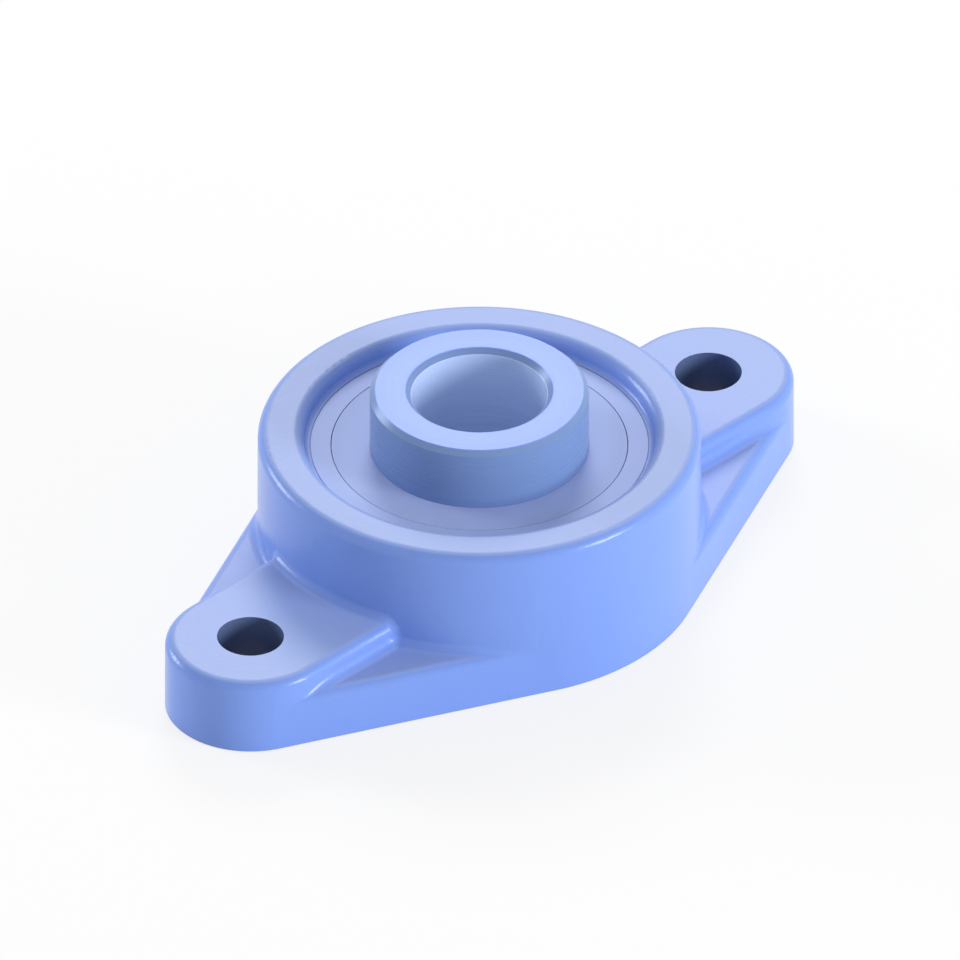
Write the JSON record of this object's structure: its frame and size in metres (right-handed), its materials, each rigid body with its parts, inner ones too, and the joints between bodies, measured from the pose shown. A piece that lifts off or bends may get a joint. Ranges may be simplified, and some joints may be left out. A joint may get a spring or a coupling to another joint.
{
  "type": "oval flange bearing",
  "caption": "Oval flange bearing unit with a sealed self-aligning ball bearing in a cast housing with bolt lugs.",
  "frame": {"origin": "centre of the mounting face, on the shaft axis", "axes": "+Z along the shaft axis, out of the wall towards the inner ring's nose; +X along the line of the bolt holes"},
  "size_m": [0.1138, 0.0618, 0.0307],
  "materials": {
    "painted_iron": "smooth light blue paint on a fine casting",
    "ring_steel": "ground and honed bearing steel, satin",
    "ball_steel": "polished bearing steel",
    "pressed_steel": "zinc plated pressed sheet",
    "cage_steel": "bare pressed strip",
    "seal_rubber": "moulded nitrile rubber"
  },
  "bodies": {
    "housing": {"housing": "painted_iron"},
    "insert": {"outer_ring": "ring_steel", "seal_plate_front": "pressed_steel", "seal_plate_back": "pressed_steel", "seal_lip_front": "seal_rubber", "seal_lip_back": "seal_rubber"},
    "shaft_ring": {"inner_ring": "ring_steel", "slinger_front": "pressed_steel", "slinger_back": "pressed_steel"},
    "cage": {"cage_front": "cage_steel", "cage_back": "cage_steel", "cage_rivets": "cage_steel"},
    "ball_1": {"ball_1": "ball_steel"},
    "ball_2": {"ball_2": "ball_steel"},
    "ball_3": {"ball_3": "ball_steel"},
    "ball_4": {"ball_4": "ball_steel"},
    "ball_5": {"ball_5": "ball_steel"},
    "ball_6": {"ball_6": "ball_steel"},
    "ball_7": {"ball_7": "ball_steel"},
    "ball_8": {"ball_8": "ball_steel"}
  },
  "joints": [
    {"name": "align_tilt", "type": "hinge", "parent": "housing", "child": "insert", "pos_m": [0, 0, 0.01335], "axis": [0, 1, 0], "range_deg": [-2.5, 2.5]},
    {"name": "shaft_spin", "type": "hinge", "parent": "insert", "child": "shaft_ring", "pos_m": [0, 0, 0.01335], "axis": [0, 0, 1], "continuous": true},
    {"name": "cage_orbit", "type": "hinge", "parent": "insert", "child": "cage", "pos_m": [0, 0, 0.01335], "axis": [0, 0, 1], "continuous": true},
    {"name": "ball_1_spin", "type": "hinge", "parent": "cage", "child": "ball_1", "pos_m": [0.01773, 0, 0.01335], "axis": [0, 0, 1], "continuous": true},
    {"name": "ball_2_spin", "type": "hinge", "parent": "cage", "child": "ball_2", "pos_m": [0.01253, 0.01253, 0.01335], "axis": [0, 0, 1], "continuous": true},
    {"name": "ball_3_spin", "type": "hinge", "parent": "cage", "child": "ball_3", "pos_m": [0, 0.01773, 0.01335], "axis": [0, 0, 1], "continuous": true},
    {"name": "ball_4_spin", "type": "hinge", "parent": "cage", "child": "ball_4", "pos_m": [-0.01253, 0.01253, 0.01335], "axis": [0, 0, 1], "continuous": true},
    {"name": "ball_5_spin", "type": "hinge", "parent": "cage", "child": "ball_5", "pos_m": [-0.01773, 0, 0.01335], "axis": [0, 0, 1], "continuous": true},
    {"name": "ball_6_spin", "type": "hinge", "parent": "cage", "child": "ball_6", "pos_m": [-0.01253, -0.01253, 0.01335], "axis": [0, 0, 1], "continuous": true},
    {"name": "ball_7_spin", "type": "hinge", "parent": "cage", "child": "ball_7", "pos_m": [0, -0.01773, 0.01335], "axis": [0, 0, 1], "continuous": true},
    {"name": "ball_8_spin", "type": "hinge", "parent": "cage", "child": "ball_8", "pos_m": [0.01253, -0.01253, 0.01335], "axis": [0, 0, 1], "continuous": true}
  ],
  "couplings": [
    {"joint": "cage_orbit", "follows": "shaft_spin", "ratio": 0.38801},
    {"joint": "ball_1_spin", "follows": "shaft_spin", "ratio": -2.1204},
    {"joint": "ball_2_spin", "follows": "shaft_spin", "ratio": -2.1204},
    {"joint": "ball_3_spin", "follows": "shaft_spin", "ratio": -2.1204},
    {"joint": "ball_4_spin", "follows": "shaft_spin", "ratio": -2.1204},
    {"joint": "ball_5_spin", "follows": "shaft_spin", "ratio": -2.1204},
    {"joint": "ball_6_spin", "follows": "shaft_spin", "ratio": -2.1204},
    {"joint": "ball_7_spin", "follows": "shaft_spin", "ratio": -2.1204},
    {"joint": "ball_8_spin", "follows": "shaft_spin", "ratio": -2.1204}
  ]
}
